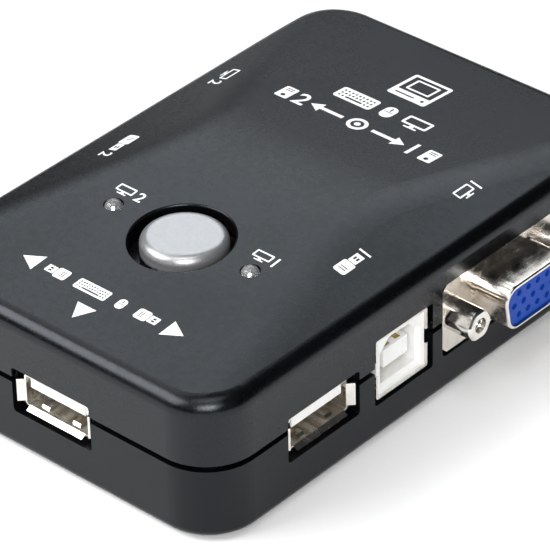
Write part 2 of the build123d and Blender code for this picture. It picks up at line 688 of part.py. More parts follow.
with BuildPart() as button_cap:
    # cap with rounded edge, retaining flange below the lid, hollow underneath, socketed stem
    with BuildSketch(Plane.XY.offset(Z_BTN - 6.0)):
        with Locations((BTN_X, BTN_Y)):
            Circle(BTN_R)
    extrude(amount=6.0)
    fillet(button_cap.faces().sort_by(Axis.Z)[-1].edges(), radius=1.5)
    with BuildSketch(Plane.XY.offset(Z_BTN - 6.0)):
        with Locations((BTN_X, BTN_Y)):
            Circle(9.4)
    extrude(amount=1.1)
    with BuildSketch(Plane.XY.offset(Z_BTN - 7.0)):
        with Locations((BTN_X, BTN_Y)):
            Circle(BTN_R - 1.5)
    extrude(amount=5.2, mode=Mode.SUBTRACT)
    with BuildSketch(Plane.XY.offset(Z_STEM)):
        with Locations((BTN_X, BTN_Y)):
            Circle(3.3)
    extrude(amount=Z_BTN - 1.5 - Z_STEM)
    with BuildSketch(Plane.XY.offset(Z_STEM - 1)):
        with Locations((BTN_X, BTN_Y)):
            Rectangle(3.04, 3.04)
    extrude(amount=5.2, mode=Mode.SUBTRACT)
write(button_cap, "button_cap")

with BuildPart() as switch_spring:
    spring_len = Z_STEM - Z_BODY_TOP - 0.1
    with BuildLine():
        Helix(pitch=(spring_len - 0.5) / 3, height=spring_len - 0.5, radius=2.65,
              center=(BTN_X, BTN_Y, Z_BODY_TOP + 0.3))
    with BuildSketch(Plane(origin=(BTN_X + 2.65, BTN_Y, Z_BODY_TOP + 0.3), x_dir=(1, 0, 0), z_dir=(0, 1, 0))):
        Circle(0.2)
    sweep(is_frenet=True)
write(switch_spring, "switch_spring")


# ------------------------------------------------------------------ board components
def gull_leads(spots, body_l, body_w, pitch, count, both_ways=False):
    """Bent leads along the two long sides (and the two short ones) of each package."""
    with BuildPart() as leads:
        for cx, cy, turn in spots:
            for k in range(4 if both_ways else 2):
                ang = turn + 180 * k if not both_ways else turn + 90 * k
                base = Plane.XY.offset(Z_PCB).rotated((0, 0, ang))
                base.origin = (cx, cy, Z_PCB)
                for i in range(count):
                    a = (i - (count - 1) / 2) * pitch
                    side = Plane(origin=base.origin + base.x_dir * (a - pitch * 0.17), x_dir=base.y_dir, z_dir=base.x_dir)
                    with BuildSketch(side):
                        with BuildLine():
                            h = body_w / 2
                            Polyline((h, 0.62), (h + 0.45, 0.62), (h + 0.6, 0.2), (h + 1.15, 0.2), (h + 1.15, 0.0),
                                     (h + 0.45, 0.0), (h + 0.3, 0.42), (h, 0.42), close=True)
                        make_face()
                    extrude(amount=pitch * 0.34)
    return leads


def packages(spots, body_l, body_w, height):
    with BuildPart() as body:
        for cx, cy, turn in spots:
            with BuildSketch(Plane.XY.offset(Z_PCB + 0.1).rotated((0, 0, 0))):
                with Locations(Location((cx, cy, 0), (0, 0, turn))):
                    Rectangle(body_l, body_w)
            extrude(amount=height)
            with BuildSketch(Plane.XY.offset(Z_PCB + 0.1 + height - 0.15)):
                with Locations(Location((cx, cy, 0), (0, 0, turn))):
                    with Locations((-body_l / 2 + 0.9, -body_w / 2 + 0.9)):
                        Circle(0.35)
            extrude(amount=1, mode=Mode.SUBTRACT)
    return body


VIDEO_ICS = [(-7.5, 27.5, 90), (7.5, 27.5, 90), (0.0, 12.5, 0)]
video_switch_ics = packages(VIDEO_ICS, 9.9, 3.9, 1.5)
write(video_switch_ics, "video_switch_ics")
write(gull_leads(VIDEO_ICS, 9.9, 3.9, 1.27, 8), "video_switch_ic_leads")

USB_IC = [(-6.5, 1.0, 0)]
write(packages(USB_IC, 7.0, 7.0, 1.4), "usb_switch_ic")
write(gull_leads(USB_IC, 7.0, 7.0, 0.5, 12, True), "usb_switch_ic_leads")

CONTROL_IC = [(8.5, 1.0, 90)]
write(packages(CONTROL_IC, 8.7, 3.9, 1.5), "controller_ic")
write(gull_leads(CONTROL_IC, 8.7, 3.9, 1.27, 7), "controller_ic_leads")

with BuildPart() as crystal:
    with BuildSketch(Plane.XY.offset(Z_PCB)):
        with Locations((-6.5, -8.5)):
            SlotOverall(11.2, 4.7)
    extrude(amount=0.5)
    with BuildSketch(Plane.XY.offset(Z_PCB + 0.5)):
        with Locations((-6.5, -8.5)):
            SlotOverall(10.4, 3.9)
    extrude(amount=3.0)
    fillet(crystal.faces().sort_by(Axis.Z)[-1].edges(), radius=0.5)
write(crystal, "crystal")

with BuildPart() as electrolytic_capacitors:
    caps = [(-11.0, -30.5), (11.0, -30.5), (0.0, 20.5)]
    with BuildSketch(Plane.XY.offset(Z_PCB)):
        with Locations(*caps):
            Circle(2.5)
    extrude(amount=7.0)
    tops = electrolytic_capacitors.faces().filter_by(Axis.Z).group_by(Axis.Z)[-1].edges()
    fillet(tops, radius=0.35)
    with BuildSketch(Plane.XY.offset(Z_PCB + 0.9)):
        with Locations(*caps):
            Circle(2.6)
            Circle(2.3, mode=Mode.SUBTRACT)
    extrude(amount=0.35, mode=Mode.SUBTRACT)
write(electrolytic_capacitors, "electrolytic_capacitors")

RES = [(x, 36.0) for x in (-9.0, -6.0, -3.0, 0.0, 3.0, 6.0, 9.0)] + [(x, 7.3) for x in (-9.0, -6.0, -3.0, 3.0)]
RES += [(s * 17.6, y) for s in (1, -1) for y in (7.0, 10.0, 13.0, 16.0, 19.0, 22.0)]
RES += [(s * 9.0, -22.5) for s in (1, -1)]
with BuildPart() as chip_resistors:
    with BuildSketch(Plane.XY.offset(Z_PCB)):
        with Locations(*RES):
            Rectangle(1.6, 0.8)
    extrude(amount=0.45)
write(chip_resistors, "chip_resistors")

CHIP_C = [(x, 33.9) for x in (-9.0, -3.0, 3.0, 9.0)] + [(-13.0, y) for y in (-4.0, 0.0, 4.0)]
CHIP_C += [(14.0, y) for y in (-4.0, 0.0, 4.0)] + [(12.5, -16.0), (-12.5, -16.0)]
with BuildPart() as chip_capacitors:
    with BuildSketch(Plane.XY.offset(Z_PCB)):
        with Locations(*CHIP_C):
            Rectangle(1.6, 0.85)
    extrude(amount=0.85)
write(chip_capacitors, "chip_capacitors")

with BuildPart() as voltage_regulator:
    with BuildSketch(Plane.XY.offset(Z_PCB + 0.1)):
        with Locations((6.5, -10.5)):
            Rectangle(6.5, 3.5)
    extrude(amount=1.6)
    with BuildSketch(Plane.XY.offset(Z_PCB)):
        with Locations((6.5, -7.9)):
            Rectangle(3.0, 1.9)
        with Locations((4.2, -12.9), (6.5, -12.9), (8.8, -12.9)):
            Rectangle(0.8, 1.5)
    extrude(amount=0.3)
write(voltage_regulator, "voltage_regulator")

with BuildPart() as diodes:
    with BuildSketch(Plane.XY.offset(Z_PCB)):
        with Locations((12.0, -12.0), (-13.8, -12.6), (12.0, -8.6), (-13.8, 8.0)):
            Rectangle(4.3, 2.6)
    extrude(amount=2.1)
    chamfer(diodes.faces().filter_by(Axis.Z).group_by(Axis.Z)[-1].edges(), length=0.35)
write(diodes, "diodes")
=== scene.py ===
import math
import bpy
import bmesh
from mathutils import Vector, Matrix
from mathutils.bvhtree import BVHTree


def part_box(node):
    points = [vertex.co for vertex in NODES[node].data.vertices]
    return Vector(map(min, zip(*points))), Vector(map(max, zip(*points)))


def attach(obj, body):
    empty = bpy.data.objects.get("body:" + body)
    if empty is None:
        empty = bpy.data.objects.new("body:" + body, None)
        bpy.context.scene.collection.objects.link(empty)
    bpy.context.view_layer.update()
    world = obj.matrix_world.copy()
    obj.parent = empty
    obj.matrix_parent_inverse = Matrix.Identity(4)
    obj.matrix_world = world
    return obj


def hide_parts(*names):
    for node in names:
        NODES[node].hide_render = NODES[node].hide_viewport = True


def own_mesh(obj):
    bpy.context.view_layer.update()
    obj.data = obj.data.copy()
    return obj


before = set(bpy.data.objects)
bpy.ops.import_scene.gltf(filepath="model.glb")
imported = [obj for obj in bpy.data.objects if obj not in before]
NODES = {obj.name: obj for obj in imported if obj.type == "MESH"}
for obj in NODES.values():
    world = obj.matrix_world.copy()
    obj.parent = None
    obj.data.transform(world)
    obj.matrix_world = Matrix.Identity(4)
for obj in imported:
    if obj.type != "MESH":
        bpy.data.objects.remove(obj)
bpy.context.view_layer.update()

MM = 0.001
scene = bpy.context.scene

# ---------------------------------------------------------------- camera
AZIM, ELEV, ROLL = math.radians(42.2), math.radians(34.6), math.radians(-1.35)
c_right = Vector((math.cos(AZIM), math.sin(AZIM), 0))
c_back = Vector((math.sin(AZIM) * math.cos(ELEV), -math.cos(AZIM) * math.cos(ELEV), math.sin(ELEV)))
c_up = c_back.cross(c_right)
v_right = math.cos(ROLL) * c_right + math.sin(ROLL) * c_up
v_up = -math.sin(ROLL) * c_right + math.cos(ROLL) * c_up
cam_at = (v_right * -0.42 + v_up * 6.81 + c_back * 625.0 + Vector((0, 0, 0.8))) * MM
cam_data = bpy.data.cameras.new("camera")
cam_data.sensor_width = 36.0
cam_data.lens = 3956.3 / 550 * 36.0
cam_data.clip_start, cam_data.clip_end = 0.02, 20.0
cam = bpy.data.objects.new("camera", cam_data)
scene.collection.objects.link(cam)
cam.matrix_world = Matrix((
    (v_right.x, v_up.x, c_back.x, cam_at.x),
    (v_right.y, v_up.y, c_back.y, cam_at.y),
    (v_right.z, v_up.z, c_back.z, cam_at.z),
    (0, 0, 0, 1)))
scene.camera = cam
scene.view_settings.view_transform = "Standard"
scene.view_settings.look = "None"


# ---------------------------------------------------------------- material kit
class Mat:
    """A Principled material whose colour, roughness and bump come from procedural nodes."""

    def __init__(self, name, colour, rough, metallic=0.0, specular=0.5, ior=1.5):
        self.m = bpy.data.materials.new(name)
        self.m.use_nodes = True
        self.t = self.m.node_tree
        self.t.nodes.clear()
        self.out = self.t.nodes.new("ShaderNodeOutputMaterial")
        self.s = self.t.nodes.new("ShaderNodeBsdfPrincipled")
        self.t.links.new(self.s.outputs[0], self.out.inputs["Surface"])
        self.s.inputs["Base Color"].default_value = (*colour, 1)
        self.s.inputs["Roughness"].default_value = rough
        self.s.inputs["Metallic"].default_value = metallic
        self.s.inputs["Specular IOR Level"].default_value = specular
        self.s.inputs["IOR"].default_value = ior
        self.m.diffuse_color = (*colour, 1)
        self.coord = self.t.nodes.new("ShaderNodeTexCoord")
        self.colour, self.rough = colour, rough
        self.col_out = self.rough_out = self.normal_out = None

    def node(self, kind, **inputs):
        n = self.t.nodes.new(kind)
        for k, v in inputs.items():
            n.inputs[k.replace("_", " ")].default_value = v
        return n

    def link(self, a, b):
        self.t.links.new(a, b)

    def mapped(self, stretch=(1, 1, 1), turn=(0, 0, 0)):
        mp = self.t.nodes.new("ShaderNodeMapping")
        mp.inputs["Scale"].default_value = stretch
        mp.inputs["Rotation"].default_value = turn
        self.link(self.coord.outputs["Object"], mp.inputs["Vector"])
        return mp.outputs[0]

    def noise(self, scale, detail=3.0, rough=0.55, stretch=None, distortion=0.0):
        n = self.t.nodes.new("ShaderNodeTexNoise")
        n.inputs["Scale"].default_value = scale
        n.inputs["Detail"].default_value = detail
        n.inputs["Roughness"].default_value = rough
        n.inputs["Distortion"].default_value = distortion
        self.link(self.mapped(stretch) if stretch else self.coord.outputs["Object"], n.inputs["Vector"])
        return n.outputs["Fac"]

    def cells(self, scale, feature="F1", stretch=None):
        n = self.t.nodes.new("ShaderNodeTexVoronoi")
        n.feature = feature
        n.inputs["Scale"].default_value = scale
        self.link(self.mapped(stretch) if stretch else self.coord.outputs["Object"], n.inputs["Vector"])
        return n.outputs["Distance"]

    def ramp(self, value, lo, hi, a=0.0, b=1.0):
        n = self.t.nodes.new("ShaderNodeMapRange")
        n.inputs["From Min"].default_value = lo
        n.inputs["From Max"].default_value = hi
        n.inputs["To Min"].default_value = a
        n.inputs["To Max"].default_value = b
        self.link(value, n.inputs["Value"])
        return n.outputs[0]

    def math(self, op, a, b=None):
        n = self.t.nodes.new("ShaderNodeMath")
        n.operation = op
        for i, v in enumerate((a, b)):
            if v is None:
                continue
            if isinstance(v, (int, float)):
                n.inputs[i].default_value = v
            else:
                self.link(v, n.inputs[i])
        return n.outputs[0]

    def tint(self, fac, colour):
        """Mixes a colour over what the base colour is so far, by a 0 to 1 mask."""
        n = self.t.nodes.new("ShaderNodeMix")
        n.data_type = "RGBA"
        self.link(fac, n.inputs[0])
        if self.col_out is None:
            n.inputs[6].default_value = (*self.colour, 1)
        else:
            self.link(self.col_out, n.inputs[6])
        n.inputs[7].default_value = (*colour, 1)
        self.col_out = n.outputs[2]
        self.link(self.col_out, self.s.inputs["Base Color"])
        return self

    def vary_rough(self, value, lo, hi):
        """Roughness runs from lo to hi over a 0 to 1 pattern."""
        out = self.ramp(value, 0.3, 0.7, lo, hi)
        if self.rough_out is not None:
            out = self.math("ADD", self.rough_out, self.math("SUBTRACT", out, (lo + hi) / 2))
        self.rough_out = out
        self.link(out, self.s.inputs["Roughness"])
        return self

    def bump(self, height, strength, distance):
        n = self.t.nodes.new("ShaderNodeBump")
        n.inputs["Strength"].default_value = strength
        n.inputs["Distance"].default_value = distance
        self.link(height, n.inputs["Height"])
        if self.normal_out is not None:
            self.link(self.normal_out, n.inputs["Normal"])
        self.normal_out = n.outputs[0]
        self.link(self.normal_out, self.s.inputs["Normal"])
        return self


def scaled(c, k):
    return tuple(min(1.0, v * k) for v in c)


# ---- moulded ABS of the case: spark-eroded matt grain, faint flow clouds, polished and dusty patches
def case_plastic(name, colour, rough, specular):
    m = Mat(name, colour, rough, specular=specular)
    m.s.inputs["Specular Tint"].default_value = (0.86, 0.92, 1.0, 1)
    m.tint(m.ramp(m.noise(55, 4), 0.38, 0.68), scaled(colour, 1.45))
    m.tint(m.ramp(m.noise(2600, 2), 0.46, 0.72, 0, 0.5), scaled(colour, 0.55))
    dust = m.math("MULTIPLY", m.ramp(m.cells(1500), 0.0, 0.10, 1, 0), m.ramp(m.noise(320, 2), 0.56, 0.70, 0, 0.35))
    m.tint(dust, (0.03, 0.03, 0.032))
    m.vary_rough(m.noise(38, 3), rough - 0.035, rough + 0.045)
    m.vary_rough(m.noise(900, 2), rough - 0.03, rough + 0.03)
    m.bump(m.noise(5200, 3, 0.6), 0.22, 0.000045)
    m.bump(m.cells(2900), 0.10, 0.00004)
    m.bump(m.noise(26, 1), 0.05, 0.0009)
    return m


mat_lid = case_plastic("case_lid_abs", (0.0011, 0.0012, 0.0017), 0.27, 0.36)
# painted shade: the tray is the lid's ABS made darker in colour and weaker in specular, standing in for the shade on
# the lower shell
mat_tray_shaded_copy = case_plastic("case_tray_abs_shaded_copy", (0.0009, 0.0010, 0.0014), 0.32, 0.27)

# ---- satin silver paint of the button: metal flake under a thin lacquer
mat_button = Mat("button_satin_silver", (0.42, 0.42, 0.43), 0.34, metallic=0.72)
mat_button.tint(mat_button.ramp(mat_button.noise(4200, 2), 0.42, 0.66, 0, 0.35), (0.34, 0.345, 0.36))
mat_button.tint(mat_button.ramp(mat_button.noise(90, 3), 0.45, 0.75, 0, 0.25), (0.47, 0.47, 0.48))
mat_button.vary_rough(mat_button.noise(1800, 2), 0.30, 0.40)
# painted shade: the cap's lower side, down in the gap of its hole, is coloured near-black and made non-metallic,
# darker towards the bottom
split = mat_button.t.nodes.new("ShaderNodeSeparateXYZ")
mat_button.link(mat_button.coord.outputs["Object"], split.inputs[0])
low = mat_button.math("ADD", split.outputs["Z"], mat_button.ramp(mat_button.noise(1500, 2), 0.3, 0.7, -0.0002, 0.0002))
painted_gap_shade = mat_button.ramp(low, 0.0262, 0.0252, 0, 1)
mat_button.tint(painted_gap_shade, (0.004, 0.004, 0.005))
mat_button.link(mat_button.ramp(painted_gap_shade, 0, 1, 0.72, 0.0), mat_button.s.inputs["Metallic"])
mat_button.bump(mat_button.noise(5200, 2), 0.14, 0.00003)
mat_button.s.inputs["Coat Weight"].default_value = 0.12
mat_button.s.inputs["Coat Roughness"].default_value = 0.25


# ---- nickel plate on stamped steel: rolling lines under the plating, tarnish clouds, fine pitting
def nickel(name, colour, rough, stretch):
    m = Mat(name, colour, rough, metallic=1.0)
    m.tint(m.ramp(m.noise(260, 4, 0.6, distortion=0.6), 0.46, 0.74, 0, 0.62), (0.50, 0.40, 0.31))
    m.tint(m.ramp(m.noise(900, 3), 0.55, 0.75, 0, 0.35), scaled(colour, 0.62))
    m.vary_rough(m.noise(420, 3), rough - 0.06, rough + 0.08)
    m.vary_rough(m.noise(3000, 1, stretch=stretch), rough - 0.03, rough + 0.04)
    m.bump(m.noise(1700, 2, stretch=stretch), 0.10, 0.00004)
    m.bump(m.noise(420, 2), 0.12, 0.00012)
    return m


mat_nickel_x = nickel("nickel_plate_side", (0.80, 0.765, 0.71), 0.20, (1, 0.12, 1))
mat_nickel_y = nickel("nickel_plate_end", (0.80, 0.765, 0.71), 0.20, (0.12, 1, 1))
mat_usb = nickel("nickel_plate_usb", (0.83, 0.81, 0.77), 0.22, (0.12, 1, 1))
mat_hex = nickel("nickel_plate_jackscrew", (0.82, 0.795, 0.755), 0.16, (1, 1, 0.1))


# ---- moulded connector plastics
def moulded(name, colour, rough, grain=2600, cloud=120, sss=0.0, depth=0.00004):
    m = Mat(name, colour, rough)
    m.tint(m.ramp(m.noise(cloud, 3), 0.40, 0.72, 0, 0.55), scaled(colour, 0.86))
    m.tint(m.ramp(m.noise(grain, 2), 0.52, 0.74, 0, 0.30), scaled(colour, 0.78))
    m.vary_rough(m.noise(cloud * 2, 2), rough - 0.05, rough + 0.06)
    m.bump(m.noise(grain, 2), 0.16, depth)
    if sss:
        m.s.inputs["Subsurface Weight"].default_value = sss
        m.s.inputs["Subsurface Radius"].default_value = (1.0, 0.9, 0.8)
        m.s.inputs["Subsurface Scale"].default_value = 0.0006
    return m


mat_white = moulded("connector_white_pbt", (0.88, 0.88, 0.865), 0.42)
mat_blue = moulded("vga_face_blue_pbt", (0.004, 0.052, 0.36), 0.40)
mat_blue.s.inputs["Specular IOR Level"].default_value = 0.2
mat_rubber = moulded("foot_rubber_black", (0.018, 0.018, 0.019), 0.78, grain=1900, depth=0.00008)
mat_sleeve = moulded("capacitor_sleeve_pvc", (0.012, 0.02, 0.055), 0.30)
mat_ceramic = moulded("chip_ceramic_tan", (0.42, 0.30, 0.19), 0.50, grain=5200, cloud=600)

mat_ink = Mat("print_ink_white", (0.86, 0.87, 0.88), 0.46)
mat_ink.tint(mat_ink.ramp(mat_ink.noise(3400, 2), 0.60, 0.74, 0, 0.5), (0.42, 0.43, 0.45))
mat_ink.tint(mat_ink.ramp(mat_ink.noise(240, 3), 0.50, 0.78, 0, 0.4), (0.70, 0.71, 0.73))
mat_ink.vary_rough(mat_ink.noise(1200, 2), 0.40, 0.54)
mat_ink.bump(mat_ink.noise(4200, 2), 0.12, 0.00002)

# ---- clear LED epoxy, with faint moulding ripple
mat_led = Mat("led_clear_epoxy", (0.95, 0.97, 0.98), 0.03, ior=1.50)
mat_led.s.inputs["Transmission Weight"].default_value = 0.86
mat_led.tint(mat_led.ramp(mat_led.noise(700, 2), 0.45, 0.75, 0, 0.5), (0.86, 0.88, 0.90))
mat_led.vary_rough(mat_led.noise(500, 2), 0.015, 0.06)
mat_led.bump(mat_led.noise(520, 1), 0.05, 0.00006)


# ---- other metals
def metal(name, colour, rough, stretch=None, spot=(0.3, 0.25, 0.2), spots=0.3):
    m = Mat(name, colour, rough, metallic=1.0)
    m.tint(m.ramp(m.noise(700, 3), 0.50, 0.78, 0, spots), spot)
    m.tint(m.ramp(m.noise(2600, 2), 0.50, 0.72, 0, 0.3), scaled(colour, 0.7))
    m.vary_rough(m.noise(900, 3), rough - 0.05, rough + 0.07)
    m.bump(m.noise(2200, 2, stretch=stretch), 0.14, 0.00004)
    return m


mat_gold = metal("contact_gold_flash", (0.92, 0.68, 0.26), 0.22, spot=(0.62, 0.42, 0.18))
mat_screw = metal("screw_zinc_steel", (0.60, 0.61, 0.62), 0.30)
mat_tin = metal("tinned_lead", (0.76, 0.76, 0.74), 0.34, spot=(0.5, 0.5, 0.5))
mat_can = metal("crystal_can_steel", (0.72, 0.71, 0.68), 0.26)
mat_spring = metal("spring_music_wire", (0.55, 0.56, 0.58), 0.28)
mat_steel = metal("led_lead_frame", (0.82, 0.82, 0.80), 0.22, spot=(0.6, 0.6, 0.58))

# ---- black epoxy of the chips and the switch body
mat_black = moulded("component_epoxy_black", (0.020, 0.020, 0.022), 0.55, grain=3800, depth=0.00006)

# ---- circuit board: solder mask over copper tracks and pads of weave
mat_board = Mat("board_solder_mask", (0.010, 0.125, 0.045), 0.32)
tracks = mat_board.t.nodes.new("ShaderNodeTexBrick")
tracks.inputs["Scale"].default_value = 260
tracks.inputs["Mortar Size"].default_value = 0.035
mat_board.link(mat_board.coord.outputs["Object"], tracks.inputs["Vector"])
mat_board.tint(mat_board.ramp(tracks.outputs["Fac"], 0, 1, 0, 0.75), (0.020, 0.215, 0.075))
mat_board.tint(mat_board.ramp(mat_board.noise(180, 3), 0.45, 0.7, 0, 0.4), (0.006, 0.085, 0.032))
mat_board.vary_rough(mat_board.noise(600, 2), 0.26, 0.40)
mat_board.bump(tracks.outputs["Fac"], 0.18, 0.00004)
mat_board.bump(mat_board.noise(2400, 2), 0.10, 0.00003)

LOOK = {
    "top_cover": mat_lid, "bottom_cover": mat_tray_shaded_copy, "rubber_feet": mat_rubber, "case_screws": mat_screw,
    "pcb_screws": mat_screw, "main_pcb": mat_board, "led_computer_1": mat_led, "led_computer_2": mat_led,
    "led_leads": mat_tin, "switch_body": mat_black, "switch_terminals": mat_tin, "switch_plunger": mat_white,
    "button_cap": mat_button, "switch_spring": mat_spring, "video_switch_ics": mat_black,
    "video_switch_ic_leads": mat_tin, "usb_switch_ic": mat_black, "usb_switch_ic_leads": mat_tin,
    "controller_ic": mat_black, "controller_ic_leads": mat_tin, "crystal": mat_can,
    "electrolytic_capacitors": mat_sleeve, "chip_resistors": mat_black, "chip_capacitors": mat_ceramic,
    "voltage_regulator": mat_black, "diodes": mat_black,
}
for side in ("right", "left", "monitor"):
    plate = mat_nickel_y if side == "monitor" else mat_nickel_x
    LOOK[f"vga_{side}_shell"] = plate
    LOOK[f"vga_{side}_insulator"] = mat_blue
    LOOK[f"vga_{side}_contacts"] = mat_gold
    LOOK[f"vga_{side}_jackscrews"] = mat_hex
    LOOK[f"vga_{side}_brackets"] = plate
for side in ("front", "right", "left"):
    LOOK[f"usb_a_{side}_shell"] = mat_usb
    LOOK[f"usb_a_{side}_tongue"] = mat_white
    LOOK[f"usb_a_{side}_contacts"] = mat_gold
for side in ("right", "left"):
    LOOK[f"usb_b_{side}_shell"] = mat_usb
    LOOK[f"usb_b_{side}_insulator"] = mat_white
    LOOK[f"usb_b_{side}_contacts"] = mat_gold
for name, ob in NODES.items():
    for s in ob.material_slots:
        s.material = LOOK[name].m

# ---------------------------------------------------------------- mesh kit
lid = NODES["top_cover"]
bm = bmesh.new()
bm.from_mesh(lid.data)
bm.transform(lid.matrix_world)
LID_TREE = BVHTree.FromBMesh(bm)
bm.free()


def lid_z(x, y):
    """Height of the lid's outer surface at x, y, in metres."""
    hit = LID_TREE.ray_cast(Vector((x, y, 0.2)), Vector((0, 0, -1)))
    return hit[0].z if hit[0] is not None else None


def new_piece(name, mesh, material, body, smooth=True, angle=35):
    ob = bpy.data.objects.new(name, mesh)
    scene.collection.objects.link(ob)
    mesh.materials.clear()
    mesh.materials.append(material.m)
    if smooth:
        mesh.shade_smooth()
        b = bmesh.new()
        b.from_mesh(mesh)
        for e in b.edges:
            if len(e.link_faces) == 2 and e.calc_face_angle(0) > math.radians(angle):
                e.smooth = False
        b.to_mesh(mesh)
        b.free()
    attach(ob, body)
    return ob


def rrect(x0, y0, x1, y1, r, n=5):
    """Rounded rectangle, counter-clockwise."""
    pts = []
    for cx, cy, a in ((x1 - r, y0 + r, -90), (x1 - r, y1 - r, 0), (x0 + r, y1 - r, 90), (x0 + r, y0 + r, 180)):
        for i in range(n + 1):
            t = math.radians(a + 90 * i / n)
            pts.append((cx + r * math.cos(t), cy + r * math.sin(t)))
    return pts


def disc(cx, cy, r, n=28):
    return [(cx + r * math.cos(2 * math.pi * i / n), cy + r * math.sin(2 * math.pi * i / n)) for i in range(n)]


def moved(contours, dx, dy, k=1.0, flip=False):
    return [[((-x if flip else x) * k + dx, y * k + dy) for x, y in c] for c in contours]


def keyboard(w, h):
    out = [rrect(0, 0, w, h, 0.16 * h)]
    cols = max(6, int(round(w / h * 4)))
    m = 0.13 * h
    px = (w - 2 * m) / cols
    py = (h - 2 * m) / 3
    key = 0.55
    for row in (1, 2):
        for c in range(cols):
            x, y = m + (c + 0.5) * px, m + (row + 0.5) * py
            out.append(rrect(x - px * key / 2, y - py * key / 2, x + px * key / 2, y + py * key / 2, 0.1 * px, 2))
    y = m + 0.5 * py
    for a, b in ((0, 1), (1, 2), (2, cols - 2), (cols - 2, cols - 1), (cols - 1, cols)):
        out.append(rrect(m + a * px + px * (1 - key) / 2, y - py * key / 2, m + b * px - px * (1 - key) / 2, y + py * key / 2, 0.1 * px, 2))
    return out


def mouse(w, h):
    return [rrect(0, 0, w, h, w * 0.49, 8), rrect(w * 0.43, h * 0.58, w * 0.57, h * 0.86, w * 0.06, 3),
            rrect(w * 0.14, h * 0.46, w * 0.86, h * 0.52, w * 0.02, 2)]


def screen(w, h):
    t = 0.13 * h
    return [rrect(0, 0.26 * h, w, h, 0.1 * h), rrect(t, 0.26 * h + t, w - t, h - t, 0.04 * h, 3),
            rrect(w * 0.42, 0.105 * h, w * 0.58, 0.255 * h, 0.01 * h, 1), rrect(w * 0.24, 0, w * 0.76, 0.10 * h, 0.04 * h, 3)]


def tower(w, h):
    return [rrect(0, 0, w, h, 0.08 * h), rrect(0.2 * w, 0.80 * h, 0.8 * w, 0.87 * h, 0.02 * h, 2),
            rrect(0.2 * w, 0.66 * h, 0.8 * w, 0.73 * h, 0.02 * h, 2), disc(0.5 * w, 0.24 * h, 0.17 * w, 16)]


def plug(w, h):
    """A flat plug: a gripped body and a narrower metal end with two windows."""
    b = 0.56 * w
    return [rrect(0, 0, b, h, 0.2 * h), rrect(0.16 * w, 0.2 * h, 0.20 * w, 0.8 * h, 0.01 * h, 1),
            rrect(0.26 * w, 0.2 * h, 0.30 * w, 0.8 * h, 0.01 * h, 1),
            rrect(b + 0.03 * w, 0.16 * h, w, 0.84 * h, 0.05 * h, 2),
            rrect(b + 0.17 * w, 0.54 * h, b + 0.31 * w, 0.70 * h, 0.01 * h, 1),
            rrect(b + 0.17 * w, 0.30 * h, b + 0.31 * w, 0.46 * h, 0.01 * h, 1)]


def arrow(x_tip, x_tail, y, shaft, head_w, head_l):
    s = 1 if x_tip > x_tail else -1
    return [[(x_tip, y), (x_tip - s * head_l, y + head_w / 2), (x_tip - s * head_l, y + shaft / 2), (x_tail, y + shaft / 2),
             (x_tail, y - shaft / 2), (x_tip - s * head_l, y - shaft / 2), (x_tip - s * head_l, y - head_w / 2)]]


def big_screen():
    """A desk monitor seen square on, with its picture area and foot."""
    return [rrect(-3.85, 31.3, 3.85, 39.0, 0.45), rrect(-3.25, 33.55, 3.25, 38.4, 0.15, 2),
            rrect(-2.35, 34.25, 2.35, 37.7, 0.25, 3), rrect(-1.95, 34.65, 1.95, 37.3, 0.1, 2),
            rrect(-2.9, 32.25, 0.9, 32.65, 0.1, 2), disc(2.6, 32.45, 0.34, 16)]


def flat_curve(contours=None, text=None, size=1.0, bold=0.0, thick=0.06):
    """A filled slab in millimetres as a mesh, from contours (even-odd) or one digit."""
    if text is None:
        cu = bpy.data.curves.new("tmp_print", "CURVE")
        cu.dimensions = "2D"
        for pts in contours:
            sp = cu.splines.new("POLY")
            sp.points.add(len(pts) - 1)
            for p, (x, y) in zip(sp.points, pts):
                p.co = (x, y, 0, 1)
            sp.use_cyclic_u = True
    else:
        cu = bpy.data.curves.new("tmp_print", "FONT")
        cu.body = text
        cu.size = size
        cu.offset = bold
        cu.resolution_u = 4
    cu.fill_mode = "BOTH"
    cu.extrude = thick / 2
    ob = bpy.data.objects.new("tmp_print", cu)
    scene.collection.objects.link(ob)
    dg = bpy.context.evaluated_depsgraph_get()
    mesh = bpy.data.meshes.new_from_object(ob.evaluated_get(dg))
    bpy.data.objects.remove(ob)
    bpy.data.curves.remove(cu)
    return mesh


def place_print(name, parts, at=(0, 0), turn=0.0):
    """Lays printed shapes on the crowned lid: each is a thin closed slab that follows the surface."""
    bm = bmesh.new()
    for mesh in parts:
        bm.from_mesh(mesh)
        bpy.data.meshes.remove(mesh)
    bmesh.ops.remove_doubles(bm, verts=bm.verts, dist=0.0005)
    rot = Matrix.Rotation(turn, 4, "Z")
    for v in bm.verts:
        v.co = rot @ v.co + Vector((at[0], at[1], 0))
    xs = [v.co.x for v in bm.verts]
    ys = [v.co.y for v in bm.verts]
    for axis, lo, hi in ((0, min(xs), max(xs)), (1, min(ys), max(ys))):
        k = math.ceil(lo / 0.8)
        while k * 0.8 < hi:
            co, no = [0, 0, 0], [0, 0, 0]
            co[axis], no[axis] = k * 0.8, 1
            bmesh.ops.bisect_plane(bm, geom=bm.verts[:] + bm.edges[:] + bm.faces[:], dist=0.00001, plane_co=co, plane_no=no)
            k += 1
    for v in bm.verts:
        x, y = v.co.x * MM, v.co.y * MM
        z = lid_z(x, y)
        v.co = Vector((x, y, z + (0.000018 if v.co.z > 0 else -0.00005)))
    bmesh.ops.recalc_face_normals(bm, faces=bm.faces[:])
    mesh = bpy.data.meshes.new(name)
    bm.to_mesh(mesh)
    bm.free()
    return new_piece(name, mesh, mat_ink, "case", smooth=False)


